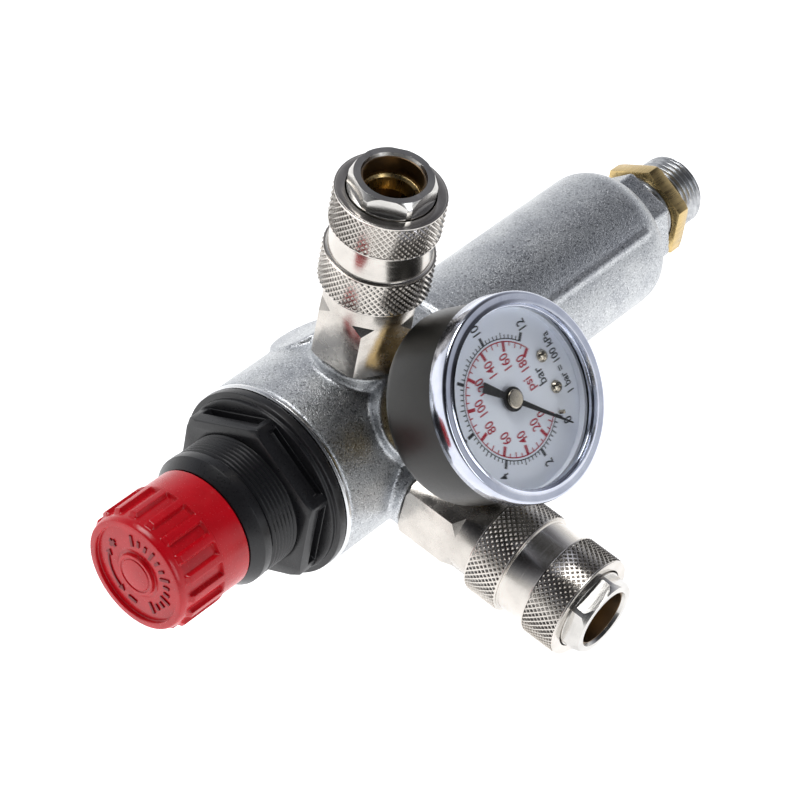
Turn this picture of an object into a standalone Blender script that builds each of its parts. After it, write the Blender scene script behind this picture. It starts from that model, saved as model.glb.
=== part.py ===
"""Air pressure regulator with a pressure gauge and two quick couplers.

Units: the driving dimensions are in millimetres and become metres when a mesh is made.
Row frame: +X runs along the main axis towards the inlet thread, and the origin is the centre
of the inlet's end face. Stations along the main axis count from the body's front rim towards
the inlet. Three branches leave the main axis at one station, 45 degrees apart: coupler 1 along
+Z, the gauge between them, and coupler 2 along -Y. Heights along a branch count from the main
axis outwards.
"""

import math

import bmesh
import bpy
from mathutils import Matrix, Vector

MM = 0.001
GAP = 0.3
SMOOTH = 30
ROUND = 24
SMALL = 16
TINY = 8
CREASE = math.radians(30)

# Main axis
INLET_END = 137.8
PORT_STATION = 23.0
BODY_R = 21.5
HOUSING_END = 43.9
BARREL_R = 16.5
BARREL_END = 109.5
DOME_R = 7.0
NECK_END = 122.4
NECK_FLATS = 20.4
THREAD_R = 8.33
THREAD_START = 123.4
INLET_BORE_R = 5.6
CHAMBER_R = 18.6
LEDGE_STATION = 13.0
OUTLET_R = 15.0
OUTLET_END = 34.0
BARREL_BORE_R = 12.5
NUT_START = 124.95
NUT_END = 128.6
NUT_FLATS = 20.15

# Bonnet, knob and the regulating parts
BONNET_FLANGE_R = 21.2
BONNET_FLATS = 34.15
BONNET_THREAD_R = 15.0
BONNET_FRONT = -20.3
GUIDE_R = 11.2
KNOB_SKIRT_R = 13.5
KNOB_GRIP_R = 13.8
KNOB_REAR = -20.6
KNOB_LIP = -28.0
KNOB_FACE = -39.9
KNOB_EDGE = 1.4
KNOB_RECESS_R = 11.0
KNOB_RECESS_DEPTH = 0.85
KNOB_BOSS_R = 4.7
SPRING_NUT = (-14.6, -10.6)
CONTROL_SPRING_R = 9.6
CONTROL_WIRE_R = 1.1
VALVE_SEAT = (30.9, 33.7)

# Branches: angle about the main axis from +Z towards +Y, in degrees
COUPLER_ANGLES = (0.0, -90.0)
GAUGE_ANGLE = -45.0
SPARE_PORT_ANGLE = 45.0
PORT_BOSS_R = 9.8
PORT_BOSS_TOP = 23.95
PORT_HOLE_R = 6.7
SPARE_BOSS_R = 7.0
SPARE_BOSS_TOP = 21.9
GAUGE_HOLE_R = 5.1

# Quick couplers, by height along the branch
COUPLER_TURNS = (33.0, 25.0)
BASE_FLATS = 19.0
COLLAR_FLATS = 18.9
BASE_BOTTOM = 24.25
BASE_HEX_TOP = 37.6
BASE_TOP = 43.0
SLEEVE_REAR = 43.2
SLEEVE_FRONT = 67.0
KNURL_R = 11.7
WAIST_R = 10.6
NOSE_TOP = 71.0
NOSE_R = 8.9
MOUTH_R = 6.1
BALL_HEIGHT = 60.0
BALL_R = 1.9
BALL_RING_R = 6.8
BALLS = 3

# Gauge, by height along its branch
CASE_R = 20.2
CASE_BACK = 36.9
CASE_RIM = 54.3
CASE_WALL = 0.9
BEZEL_R = 21.25
BEZEL_REAR = 53.2
BEZEL_FRONT = 57.85
WINDOW_R = 18.1
LENS = (54.6, 55.9)
DIAL = (52.4, 53.0)
DIAL_R = 18.9
SCREW_OFFSETS = ((12.0, 3.5), (12.0, -3.5))
POINTER_TIP = 16.3
POINTER_REST = -45.0
SECTOR_PIVOT = 9.0
SECTOR_R = 7.9
SECTOR_TAIL = 3.5
PINION_R = 0.9
BOURDON_R = 15.5

FINISHES = {
    "cast_zinc": ((0.55, 0.56, 0.57), 0.45, 1.0),
    "nickel": ((0.72, 0.68, 0.62), 0.22, 1.0),
    "bright_steel": ((0.55, 0.55, 0.56), 0.25, 1.0),
    "brass": ((0.72, 0.53, 0.23), 0.3, 1.0),
    "chrome": ((0.75, 0.77, 0.82), 0.08, 1.0),
    "spring_steel": ((0.42, 0.42, 0.44), 0.35, 1.0),
    "black_plastic": ((0.02, 0.02, 0.022), 0.4, 0.0),
    "red_plastic": ((0.6, 0.01, 0.03), 0.3, 0.0),
    "case_steel": ((0.07, 0.068, 0.06), 0.45, 0.3),
    "dial_white": ((0.75, 0.78, 0.87), 0.5, 0.0),
    "lens_clear": ((0.9, 0.93, 0.95), 0.05, 0.0),
    "pointer_black": ((0.015, 0.015, 0.015), 0.5, 0.0),
    "rubber": ((0.02, 0.02, 0.02), 0.8, 0.0),
    "sintered_bronze": ((0.45, 0.3, 0.16), 0.8, 1.0),
}


def clear_scene():
    for thing in list(bpy.data.objects):
        bpy.data.objects.remove(thing)


def finish(name):
    material = bpy.data.materials.get(name)
    if material:
        return material
    colour, roughness, metallic = FINISHES[name]
    material = bpy.data.materials.new(name)
    material.use_nodes = True
    shader = material.node_tree.nodes["Principled BSDF"]
    shader.inputs["Base Color"].default_value = (*colour, 1.0)
    shader.inputs["Roughness"].default_value = roughness
    shader.inputs["Metallic"].default_value = metallic
    return material


# ---------------------------------------------------------------- frames

def main_axis():
    """Local z is the station along the main axis, local x is +Y and local y is +Z."""
    axes = Matrix(((0, 0, 1, 0), (1, 0, 0, 0), (0, 1, 0, 0), (0, 0, 0, 1)))
    return Matrix.Translation((-INLET_END * MM, 0, 0)) @ axes


def branch(angle):
    """Local z is the height along a branch, and local x is +X."""
    a = math.radians(angle)
    out = Vector((0, math.sin(a), math.cos(a)))
    along = Vector((1, 0, 0))
    side = out.cross(along)
    axes = Matrix((along, side, out)).transposed().to_4x4()
    return Matrix.Translation(((PORT_STATION - INLET_END) * MM, 0, 0)) @ axes


# ---------------------------------------------------------------- shapes

def from_bmesh(name, bm, material, place):
    bmesh.ops.recalc_face_normals(bm, faces=bm.faces)
    mesh = bpy.data.meshes.new(name)
    bm.to_mesh(mesh)
    bm.free()
    mesh.shade_smooth()
    mesh.set_sharp_from_angle(angle=CREASE)
    thing = bpy.data.objects.new(name, mesh)
    thing.data.materials.append(finish(material))
    thing.matrix_world = place
    bpy.context.scene.collection.objects.link(thing)
    return thing


def turned(name, outline, material, place, segments=ROUND):
    """Turn a closed outline of (radius, height) points about the local z axis."""
    bm = bmesh.new()
    points = [bm.verts.new((r * MM, 0, z * MM)) for r, z in outline]
    edges = [bm.edges.new(pair) for pair in zip(points, points[1:] + points[:1])]
    bmesh.ops.spin(bm, geom=points + edges, axis=(0, 0, 1), cent=(0, 0, 0),
                   angle=2 * math.pi, steps=segments, use_merge=True)
    bmesh.ops.remove_doubles(bm, verts=bm.verts, dist=1e-7)
    bmesh.ops.delete(bm, geom=[e for e in bm.edges if e.is_wire], context="EDGES")
    return from_bmesh(name, bm, material, place)


def ring(inner, outer, low, high):
    return [(inner, low), (outer, low), (outer, high), (inner, high)]


def rod(radius, low, high):
    return [(0, low), (radius, low), (radius, high), (0, high)]


def arc(centre, radius, start, end, steps):
    """Points of an arc in the outline's own plane, angles in degrees."""
    turns = [math.radians(start + (end - start) * i / steps) for i in range(steps + 1)]
    return [(centre[0] + radius * math.cos(t), centre[1] + radius * math.sin(t)) for t in turns]


def prism(name, sides, flats, low, high, turn, material, place):
    """A regular prism about local z, with one corner at the turn angle, in degrees."""
    corner = flats / 2 / math.cos(math.pi / sides)
    angles = [math.radians(turn) + 2 * math.pi * i / sides for i in range(sides)]
    outline = [(corner * math.cos(a), corner * math.sin(a)) for a in angles]
    return plate(name, outline, low, high, material, place)


def plate(name, outline, low, high, material, place):
    """Extrude a flat (x, y) outline between two heights."""
    bm = bmesh.new()
    face = bm.faces.new([bm.verts.new((x * MM, y * MM, low * MM)) for x, y in outline])
    extruded = bmesh.ops.extrude_face_region(bm, geom=[face])
    top = [v for v in extruded["geom"] if isinstance(v, bmesh.types.BMVert)]
    bmesh.ops.translate(bm, verts=top, vec=(0, 0, (high - low) * MM))
    return from_bmesh(name, bm, material, place)


def coil(name, radius, wire, low, high, turns, material, place, steps=8, sides=5):
    """A compression spring about local z, between two heights of its wire's outside."""
    rise = high - low - 2 * wire
    count = int(turns * steps)
    bm = bmesh.new()
    rings = []
    for i in range(count + 1):
        a = 2 * math.pi * i / steps
        z = low + wire + rise * i / count
        centre = Vector((radius * math.cos(a), radius * math.sin(a), z))
        outward = Vector((math.cos(a), math.sin(a), 0))
        spots = [2 * math.pi * k / sides for k in range(sides)]
        rings.append([bm.verts.new((centre + wire * (math.cos(s) * outward
                                                     + math.sin(s) * Vector((0, 0, 1)))) * MM)
                      for s in spots])
    for first, second in zip(rings, rings[1:]):
        for k in range(sides):
            n = (k + 1) % sides
            bm.faces.new((first[k], first[n], second[n], second[k]))
    bm.faces.new(rings[0])
    bm.faces.new(rings[-1])
    return from_bmesh(name, bm, material, place)


def combine(target, operation, *tools):
    """Apply one exact Boolean with all the tools together, and remove the tools."""
    step = target.modifiers.new(operation.title(), "BOOLEAN")
    step.operation = operation
    step.solver = "EXACT"
    group = bpy.data.collections.new("tools")
    if len(tools) == 1:
        step.object = tools[0]
    else:
        for tool in tools:
            group.objects.link(tool)
        step.use_self = True
        step.operand_type = "COLLECTION"
        step.collection = group
    bpy.context.view_layer.update()
    graph = bpy.context.evaluated_depsgraph_get()
    solid = bpy.data.meshes.new_from_object(target.evaluated_get(graph))
    target.modifiers.clear()
    target.data = solid
    solid.set_sharp_from_angle(angle=CREASE)
    for tool in tools:
        bpy.data.objects.remove(tool)
    bpy.data.collections.remove(group)
    return target


def shifted(place, x, y):
    return place @ Matrix.Translation((x * MM, y * MM, 0))


# ---------------------------------------------------------------- body

def body_outline():
    """The body's outside as one solid of revolution."""
    dome_centre = (BARREL_R - DOME_R, BARREL_END)
    return [
        (0, 0), (BODY_R - 0.6, 0), (BODY_R, 0.6), (BODY_R, HOUSING_END - 0.5),
        (BODY_R - 0.5, HOUSING_END), (17.7, 44.2), (17.7, 47.8), (18.2, 48.2),
        (18.2, 52.6), (BARREL_R, 53.6), *arc(dome_centre, DOME_R, 0, 90, 5),
        (7.4, BARREL_END + DOME_R), (7.4, THREAD_START), (THREAD_R, THREAD_START + 0.8),
        (THREAD_R, INLET_END - 0.9), (7.5, INLET_END), (0, INLET_END),
    ]


def hollow_outline():
    """The stepped core, open at the front rim and at the inlet."""
    return [
        (0, -2), (CHAMBER_R, -2), (CHAMBER_R, LEDGE_STATION), (OUTLET_R, LEDGE_STATION),
        (OUTLET_R, OUTLET_END), (BARREL_BORE_R, OUTLET_END), (BARREL_BORE_R, 106),
        (INLET_BORE_R, 113), (INLET_BORE_R, INLET_END + 2), (0, INLET_END + 2),
    ]


def parting_rib(angle, place):
    """A low rib on the barrel where the casting die parts."""
    a = math.radians(90 - angle)
    high = BARREL_R + 0.35
    return plate("rib", [(10, -0.65), (high, -0.65), (high, 0.65), (10, 0.65)],
                 53, BARREL_END + 1, "cast_zinc", place @ Matrix.Rotation(a, 4, "Z"))


def regulator_body():
    place = main_axis()
    body = turned("regulator_body", body_outline(), "cast_zinc", place, SMOOTH)
    neck = prism("neck", 6, NECK_FLATS, 110, NECK_END, 90 + 45 - 30, "cast_zinc", place)
    ribs = [parting_rib(GAUGE_ANGLE, place), parting_rib(GAUGE_ANGLE + 180, place)]
    bosses = [turned("boss", rod(PORT_BOSS_R, 12, PORT_BOSS_TOP), "cast_zinc", branch(a))
              for a in (*COUPLER_ANGLES, GAUGE_ANGLE)]
    spare = turned("spare", rod(SPARE_BOSS_R, 12, SPARE_BOSS_TOP), "cast_zinc", branch(SPARE_PORT_ANGLE))
    combine(body, "UNION", neck, *ribs, *bosses, spare)
    hollow = turned("hollow", hollow_outline(), "cast_zinc", place)
    holes = [turned("hole", rod(PORT_HOLE_R, 13, 26), "cast_zinc", branch(a), SMALL)
             for a in COUPLER_ANGLES]
    seats = [turned("seat", rod(8.2, 22.3, 26), "cast_zinc", branch(a), SMALL)
             for a in COUPLER_ANGLES]
    gauge_hole = turned("hole", rod(GAUGE_HOLE_R, 13, 26), "cast_zinc", branch(GAUGE_ANGLE), SMALL)
    return combine(body, "DIFFERENCE", *seats, *holes, gauge_hole, hollow)


def inlet_lock_nut():
    place = main_axis()
    nut = prism("inlet_lock_nut", 6, NUT_FLATS, NUT_START, NUT_END, 27.5, "brass", place)
    bore = turned("bore", rod(THREAD_R + GAP, NUT_START - 2, NUT_END + 2), "brass", place, ROUND)
    return combine(nut, "DIFFERENCE", bore)


# ---------------------------------------------------------------- bonnet and knob

def bonnet():
    place = main_axis()
    outline = [
        (4.4, -30), (GUIDE_R, -30), (GUIDE_R, BONNET_FRONT), (13.3, BONNET_FRONT),
        (BONNET_THREAD_R, -17.8), (BONNET_THREAD_R, -7.9), (16.5, -7.9), (16.5, -2.6),
        (BONNET_FLANGE_R, -2.6), (BONNET_FLANGE_R, -GAP), (CHAMBER_R - GAP, -GAP),
        (CHAMBER_R - GAP, 11.7), (15.5, 11.7), (15.5, 0), (13.2, -1.5), (13.2, -18),
        (4.4, -18),
    ]
    shell = turned("bonnet", outline, "black_plastic", place, ROUND)
    hexagon = prism("hexagon", 6, BONNET_FLATS, -8.3, -2, 90, "black_plastic", place)
    bore = turned("bore", rod(15.0, -10, 0), "black_plastic", place)
    combine(hexagon, "DIFFERENCE", bore)
    return combine(shell, "UNION", hexagon)


def adjusting_knob():
    rounded = arc((KNOB_GRIP_R - KNOB_EDGE, KNOB_FACE + KNOB_EDGE), KNOB_EDGE, 0, -90, 3)
    floor = KNOB_FACE + KNOB_RECESS_DEPTH
    outline = [
        (11.5, KNOB_REAR), (KNOB_SKIRT_R, KNOB_REAR), (KNOB_SKIRT_R, KNOB_LIP + 0.2),
        (KNOB_GRIP_R, KNOB_LIP), *rounded, (KNOB_RECESS_R, KNOB_FACE), (KNOB_RECESS_R, floor),
        (KNOB_BOSS_R, floor), (KNOB_BOSS_R, KNOB_FACE + 0.1), (0, KNOB_FACE + 0.1),
        (0, -36.6), (4.4, -36.6), (4.4, -31.2), (6.5, -31.2), (6.5, -36.4), (11.5, -36.4),
    ]
    return turned("adjusting_knob", outline, "red_plastic", main_axis(), SMOOTH)


def adjusting_screw():
    place = main_axis()
    outline = [(0, -31), (3.6, -31), (3.6, -17.6), (6, -17.6), (6, -15.6), (3.6, -15.6),
               (3.6, 1.5), (3, 2.2), (0, 2.2)]
    screw = turned("adjusting_screw", outline, "bright_steel", place, SMALL)
    head = prism("head", 6, 7.0, -36.2, -30.2, 0, "bright_steel", place)
    return combine(screw, "UNION", head)


def spring_nut():
    low, high = SPRING_NUT
    outline = [(3.9, low), (12.9, low), (12.9, low + 2.2), (7.6, low + 2.2), (7.6, high), (3.9, high)]
    return turned("spring_nut", outline, "brass", main_axis())


def regulating_parts():
    place = main_axis()
    coil("control_spring", CONTROL_SPRING_R, CONTROL_WIRE_R, SPRING_NUT[0] + 2.4, 10.2, 4.5,
         "spring_steel", place)
    turned("diaphragm_plate",
           [(0, 10.4), (13.5, 10.4), (13.5, 11.7), (2.7, 11.7), (2.7, 13.8), (0, 13.8)],
           "bright_steel", place)
    turned("diaphragm", ring(3.0, 18.2, 12.0, 12.7), "rubber", place)
    turned("valve_seat", ring(4.0, OUTLET_R - GAP, *VALVE_SEAT), "brass", place)
    turned("valve_poppet",
           [(0, 14.1), (1.5, 14.1), (1.5, 35.3), (6.5, 35.3), (6.5, 37.5), (3.2, 37.5),
            (3.2, 49.5), (0, 49.5)], "brass", place, SMALL)
    turned("valve_seal", ring(1.8, 6.2, VALVE_SEAT[1] + GAP, 35.0), "rubber", place, SMALL)
    coil("valve_spring", 4.9, 0.5, 37.8, 47.7, 4, "spring_steel", place)
    retainer = turned("valve_retainer", ring(3.5, BARREL_BORE_R - GAP, 48, 50.5), "brass", place)
    ways = [turned("way", rod(2.6, 46, 52), "brass", shifted(place, x, y), TINY)
            for x, y in ((8, 0), (0, 8), (-8, 0), (0, -8))]
    combine(retainer, "DIFFERENCE", *ways)
    turned("filter_element",
           [(6, 50.8), (9, 50.8), (9, 101), (0, 101), (0, 99), (6, 99)], "sintered_bronze", place)


# ---------------------------------------------------------------- quick couplers

def coupler_base(number, place, turn):
    """Hexagon with a male thread below and a twelve-sided collar above it."""
    corner = BASE_FLATS / 2 / math.cos(math.pi / 6)
    base = prism(f"coupler_base_{number}", 6, BASE_FLATS, BASE_BOTTOM, BASE_HEX_TOP + 1, turn,
                 "nickel", place)
    lathe = turned("lathe", [
        (0, 20), (corner - 1.2, 20), (corner - 1.2, BASE_BOTTOM - 0.6), (corner + 0.2, BASE_BOTTOM + 0.8),
        (corner + 0.2, BASE_HEX_TOP - 1.6), (9.0, BASE_HEX_TOP + 0.5), (9.0, 50), (0, 50)],
        "nickel", place, SMOOTH)
    combine(base, "INTERSECT", lathe)
    collar = prism("collar", 12, COLLAR_FLATS, BASE_HEX_TOP - 3, BASE_TOP, turn, "nickel", place)
    spigot = turned("spigot", rod(PORT_HOLE_R - GAP, 16, BASE_BOTTOM + 2), "nickel", place, SMALL)
    combine(base, "UNION", collar, spigot)
    bore = turned("bore", [(0, 14), (4.2, 14), (4.2, 38.5), (7.3, 38.5), (7.3, 45), (0, 45)],
                  "nickel", place, SMALL)
    return combine(base, "DIFFERENCE", bore)


def coupler_body(number, place):
    """Tube with the mouth, the ball ring and the valve's seat."""
    outline = [
        (6.1, 38.8), (7.0, 38.8), (7.0, BASE_TOP + GAP), (9.6, BASE_TOP + GAP), (9.6, 45.7),
        (8.65, 45.7), (8.65, 67.3), (NOSE_R, 67.6), (NOSE_R, NOSE_TOP - 0.5),
        (NOSE_R - 0.5, NOSE_TOP), (MOUTH_R + 0.5, NOSE_TOP), (MOUTH_R, NOSE_TOP - 0.8),
        (MOUTH_R, 55.0), (4.6, 55.0), (4.6, 53.2), (6.1, 53.2),
    ]
    tube = turned(f"coupler_body_{number}", outline, "nickel", place)
    holes = []
    for i in range(BALLS):
        way = place @ Matrix.Rotation(2 * math.pi * i / BALLS, 4, "Z")
        way = way @ Matrix.Translation((0, 0, BALL_HEIGHT * MM)) @ Matrix.Rotation(math.pi / 2, 4, "Y")
        holes.append(turned("hole", rod(BALL_R + 0.2, 3, 12), "nickel", way, 12))
    return combine(tube, "DIFFERENCE", *holes)


def coupler_sleeve(number, place):
    """Sliding sleeve with two grip bands and, inside, the ring that holds the balls."""
    outline = [
        (10.2, SLEEVE_REAR), (KNURL_R - 0.3, SLEEVE_REAR), (KNURL_R, SLEEVE_REAR + 0.3),
        (KNURL_R, 51.4), (WAIST_R, 51.8), (WAIST_R, 58.2), (KNURL_R - 0.1, 58.6),
        (KNURL_R - 0.1, SLEEVE_FRONT - 0.3), (KNURL_R - 0.4, SLEEVE_FRONT),
        (9.15, SLEEVE_FRONT), (9.15, 65.2), (10.1, 65.2), (10.1, BALL_HEIGHT + 0.1),
        (8.9, BALL_HEIGHT + 0.1), (8.9, 57.5), (10.2, 57.5),
    ]
    return turned(f"coupler_sleeve_{number}", outline, "nickel", place, SMOOTH)


def coupler_balls(number, place):
    for i in range(BALLS):
        a = 2 * math.pi * i / BALLS
        spot = Vector((BALL_RING_R * math.cos(a), BALL_RING_R * math.sin(a), BALL_HEIGHT)) * MM
        bm = bmesh.new()
        bmesh.ops.create_uvsphere(bm, u_segments=TINY, v_segments=8, radius=BALL_R * MM)
        from_bmesh(f"locking_ball_{number}_{i + 1}", bm, "bright_steel",
                   place @ Matrix.Translation(spot))


def coupler_inner_parts(number, place):
    turned(f"port_o_ring_{number}", ring(6.75, 7.9, 22.6, 23.7), "rubber", place, SMALL)
    coil(f"sleeve_spring_{number}", 9.4, 0.4, 46.0, 57.2, 4, "spring_steel", place, steps=14)
    turned(f"coupler_insert_{number}",
           [(5.2, 62.5), (MOUTH_R - GAP, 62.5), (MOUTH_R - GAP, 66.0), (5.4, 66.0), (5.2, 65.8)],
           "brass", place)
    turned(f"coupler_seal_{number}", ring(4.9, MOUTH_R - GAP, 55.3, 57.2), "rubber", place, SMALL)
    turned(f"coupler_valve_{number}",
           [(0, 50.7), (5.5, 50.7), (5.5, 52.9), (2.0, 52.9), (2.0, 56.4), (3.8, 56.4), (3.8, 57.6),
            (0, 57.6)], "brass", place, SMALL)
    coil(f"coupler_valve_spring_{number}", 5.0, 0.4, 38.8, 50.4, 4, "spring_steel", place)


def quick_couplers():
    for i, angle in enumerate(COUPLER_ANGLES):
        number = i + 1
        place = branch(angle)
        coupler_base(number, place, COUPLER_TURNS[i])
        coupler_body(number, place)
        coupler_sleeve(number, place)
        coupler_balls(number, place)
        coupler_inner_parts(number, place)


# ---------------------------------------------------------------- gauge

def gauge_stem():
    place = branch(GAUGE_ANGLE)
    stem = turned("gauge_stem", rod(GAUGE_HOLE_R - GAP, 16, 40.8), "brass", place, SMALL)
    hexagon = prism("hexagon", 6, 14, BASE_BOTTOM, CASE_BACK - GAP, 0, "brass", place)
    arm = plate("arm", [(-16.6, -3), (5, -3), (5, 3), (-16.6, 3)], 40.4, 43.0, "brass", place)
    combine(stem, "UNION", hexagon, arm)
    bore = turned("bore", rod(1.5, 14, 45), "brass", place, TINY)
    return combine(stem, "DIFFERENCE", bore)


def gauge_case():
    outline = [
        (5.2, CASE_BACK), *arc((CASE_R - 2.9, CASE_BACK + 2.9), 2.9, -90, 0, 4), (CASE_R, CASE_RIM),
        (CASE_R - CASE_WALL, CASE_RIM), *arc((CASE_R - 2.9, CASE_BACK + 2.9), 2.0, 0, -90, 2),
        (5.2, CASE_BACK + CASE_WALL),
    ]
    return turned("gauge_case", outline, "case_steel", branch(GAUGE_ANGLE), SMOOTH)


def gauge_bezel():
    outline = [
        (CASE_R + GAP, BEZEL_REAR), (BEZEL_R, BEZEL_REAR), (BEZEL_R, BEZEL_FRONT - 0.6),
        (BEZEL_R - 0.3, BEZEL_FRONT - 0.15), (BEZEL_R - 0.8, BEZEL_FRONT), (19.3, 57.5),
        (WINDOW_R, 56.9), (WINDOW_R, LENS[1] + GAP), (CASE_R + GAP, LENS[1] + GAP),
    ]
    return turned("gauge_bezel", outline, "chrome", branch(GAUGE_ANGLE), SMOOTH)


def gauge_dial():
    place = branch(GAUGE_ANGLE)
    dial = turned("gauge_dial", ring(0.9, DIAL_R, *DIAL), "dial_white", place, SMOOTH)
    holes = [turned("hole", rod(0.9, 50, 55), "dial_white", shifted(place, x, y), TINY)
             for x, y in SCREW_OFFSETS]
    return combine(dial, "DIFFERENCE", *holes)


def gauge_face_parts():
    place = branch(GAUGE_ANGLE)
    turned("gauge_lens", rod(CASE_R - 0.2, *LENS), "lens_clear", place, SMOOTH)
    for i, (x, y) in enumerate(SCREW_OFFSETS):
        turned(f"dial_screw_{i + 1}",
               [(0, 50.7), (0.6, 50.7), (0.6, 53.2), (1.15, 53.2), (0.95, 53.8), (0.5, 54.05), (0, 54.1)],
               "bright_steel", shifted(place, x, y), TINY)
    stop = math.radians(POINTER_REST + 5.7)
    turned("pointer_stop", rod(0.45, 53.2, 54.4), "pointer_black",
           shifted(place, 13.1 * math.cos(stop), 13.1 * math.sin(stop)), TINY)


def gauge_pointer():
    place = branch(GAUGE_ANGLE) @ Matrix.Rotation(math.radians(POINTER_REST), 4, "Z")
    blade = plate("gauge_pointer", [(POINTER_TIP, -0.12), (POINTER_TIP, 0.12), (2, 0.75),
                                    (-3, 0.9), (-7.1, 1.25), (-7.1, -1.25), (-3, -0.9), (2, -0.75)],
                  53.45, 53.8, "pointer_black", place)
    hub = turned("hub", rod(2.3, 53.4, 54.0), "pointer_black", place, SMALL)
    combine(blade, "UNION", hub)
    bore = turned("bore", rod(0.9, 52, 56), "pointer_black", place, TINY)
    combine(blade, "DIFFERENCE", bore)
    turned("pointer_arbor", [(0, 44.6), (0.5, 44.6), (0.5, 46.8), (PINION_R, 46.8), (PINION_R, 49.6),
                             (0.5, 49.6), (0.5, 53.9), (0, 53.9)], "brass", place, TINY)
    turned("pointer_cap", [(0, 54.2), (1.6, 54.2), (1.6, 54.35), (0.9, 54.5), (0, 54.5)],
           "bright_steel", place, SMALL)


def movement_frame():
    place = branch(GAUGE_ANGLE)
    frame = plate("movement_frame", [(-8, -5), (14, -5), (14, 5), (-8, 5)], 50.4, 51.6, "brass", place)
    foot = plate("foot", [(-8, -5), (11, -2), (11, 2), (-8, 5)], 43.3, 44.3, "brass", place)
    posts = [turned("post", rod(1.3, 43.8, 51), "brass", shifted(place, -6, y), TINY)
             for y in (-3.5, 3.5)]
    combine(frame, "UNION", foot, *posts)
    spots = [(0, 0), *SCREW_OFFSETS]
    holes = [turned("hole", rod(0.9, 48, 53), "brass", shifted(place, x, y), TINY) for x, y in spots]
    return combine(frame, "DIFFERENCE", *holes)


def gauge_linkage():
    """Sector gear with its tail pin, and the link that the Bourdon tube pulls."""
    pivot = shifted(branch(GAUGE_ANGLE), SECTOR_PIVOT, 0)
    fan = arc((0, 0), SECTOR_R, 143, 184, 6)
    tail = [(0.8, -1.2), (SECTOR_TAIL + 0.9, -0.8), (SECTOR_TAIL + 0.9, 0.8), (0.8, 1.2)]
    sector = plate("sector_gear", [*fan, *tail], 47.6, 48.8, "brass", pivot)
    staff = turned("staff", rod(0.6, 44.6, 50.1), "brass", pivot, TINY)
    pin = turned("pin", rod(0.45, 48.2, 50.1), "brass", shifted(pivot, SECTOR_TAIL, 0), TINY)
    combine(sector, "UNION", staff, pin)
    tail_place = shifted(pivot, SECTOR_TAIL, 0)
    link = plate("gauge_link", [(-1, -1), (-1, 1), (1, 1), (2.9, -4.4), (1.1, -5.1)], 49.1, 49.8,
                 "bright_steel", tail_place)
    bore = turned("bore", rod(0.6, 48, 51), "bright_steel", tail_place, TINY)
    combine(link, "DIFFERENCE", bore)


def bourdon_tube():
    """Flattened tube along an open C, closed at both ends, with a narrow bore at its root."""
    place = branch(GAUGE_ANGLE)
    steps = 16
    bm = bmesh.new()
    section = [(-0.7, -1.6), (-0.35, -2.2), (0.35, -2.2), (0.7, -1.6), (0.7, 1.6), (0.35, 2.2),
               (-0.35, 2.2), (-0.7, 1.6)]
    rings = []
    for i in range(steps + 1):
        a = math.radians(180 - 205 * i / steps)
        rings.append([bm.verts.new(((BOURDON_R + r) * math.cos(a) * MM,
                                    (BOURDON_R + r) * math.sin(a) * MM, (45.6 + z) * MM))
                      for r, z in section])
    for first, second in zip(rings, rings[1:]):
        for k in range(len(section)):
            n = (k + 1) % len(section)
            bm.faces.new((first[k], first[n], second[n], second[k]))
    bm.faces.new(rings[0])
    bm.faces.new(rings[-1])
    return from_bmesh("bourdon_tube", bm, "brass", place)


def gauge():
    gauge_stem()
    gauge_case()
    gauge_bezel()
    gauge_dial()
    gauge_face_parts()
    gauge_pointer()
    movement_frame()
    gauge_linkage()
    bourdon_tube()


def main():
    clear_scene()
    regulator_body()
    inlet_lock_nut()
    bonnet()
    adjusting_knob()
    adjusting_screw()
    spring_nut()
    regulating_parts()
    quick_couplers()
    gauge()


main()
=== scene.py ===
"""The looks of an air pressure regulator with a gauge and two quick couplers.

Lengths are in millimetres and become metres when a mesh is made. Along the main axis a place is
a station, counted from the body's front rim towards the inlet; along a branch it is a height,
counted from the main axis outwards.
"""

import math

import bmesh
import bpy
import numpy as np
from mathutils import Matrix, Vector


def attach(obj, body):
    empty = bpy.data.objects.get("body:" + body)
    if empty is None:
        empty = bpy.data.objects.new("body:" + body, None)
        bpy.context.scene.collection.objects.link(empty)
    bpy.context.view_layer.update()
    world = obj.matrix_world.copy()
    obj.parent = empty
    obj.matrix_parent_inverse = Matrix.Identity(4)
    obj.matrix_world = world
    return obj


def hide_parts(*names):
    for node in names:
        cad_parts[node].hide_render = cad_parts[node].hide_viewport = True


MM = 0.001
FINE = 128
ROUND = 96
SMALL = 48
TINY = 24
BEVEL_ABOVE = 35
CREASE_ABOVE = 40

# Main axis, by station
INLET_END = 137.8
PORT_STATION = 23.0
BODY_R = 21.38
HOUSING_END = 43.9
BARREL_R = 16.45
BARREL_END = 109.5
DOME_R = 7.0
NECK_FLATS = 20.35
NECK_END = 122.35
THREAD_R = 8.32
THREAD_PITCH = 1.337
NUT_FLATS = 20.1
BONNET_FLATS = 34.1

# Camera, in metres and degrees; the azimuth runs clockwise from +Y and the elevation looks down
CAMERA_PLACE = (-0.53567, -0.27918, 0.51607)
CAMERA_AZIMUTH = 57.617
CAMERA_ELEVATION = 45.022
CAMERA_ROLL = 12.233
TO_CAMERA = (-0.597, -0.379, 0.707)

# Branches, by angle from +Z towards +Y, in degrees
COUPLER_ANGLES = (0.0, -90.0)
COUPLER_TURNS = (33.0, 25.0)
NOSE_TURNS = (3.0, 22.0)
GAUGE_ANGLE = -45.0
SPARE_PORT_ANGLE = 45.0

# Knob
KNOB_R = 13.78
KNOB_SKIRT_R = 13.35
KNOB_FACE = -39.88
KNOB_LIP = -28.0
KNOB_REAR = -20.6
GROOVES = 18
FLUTE_HALF = 1.62
FLUTE_DEPTH = 0.95

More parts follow.
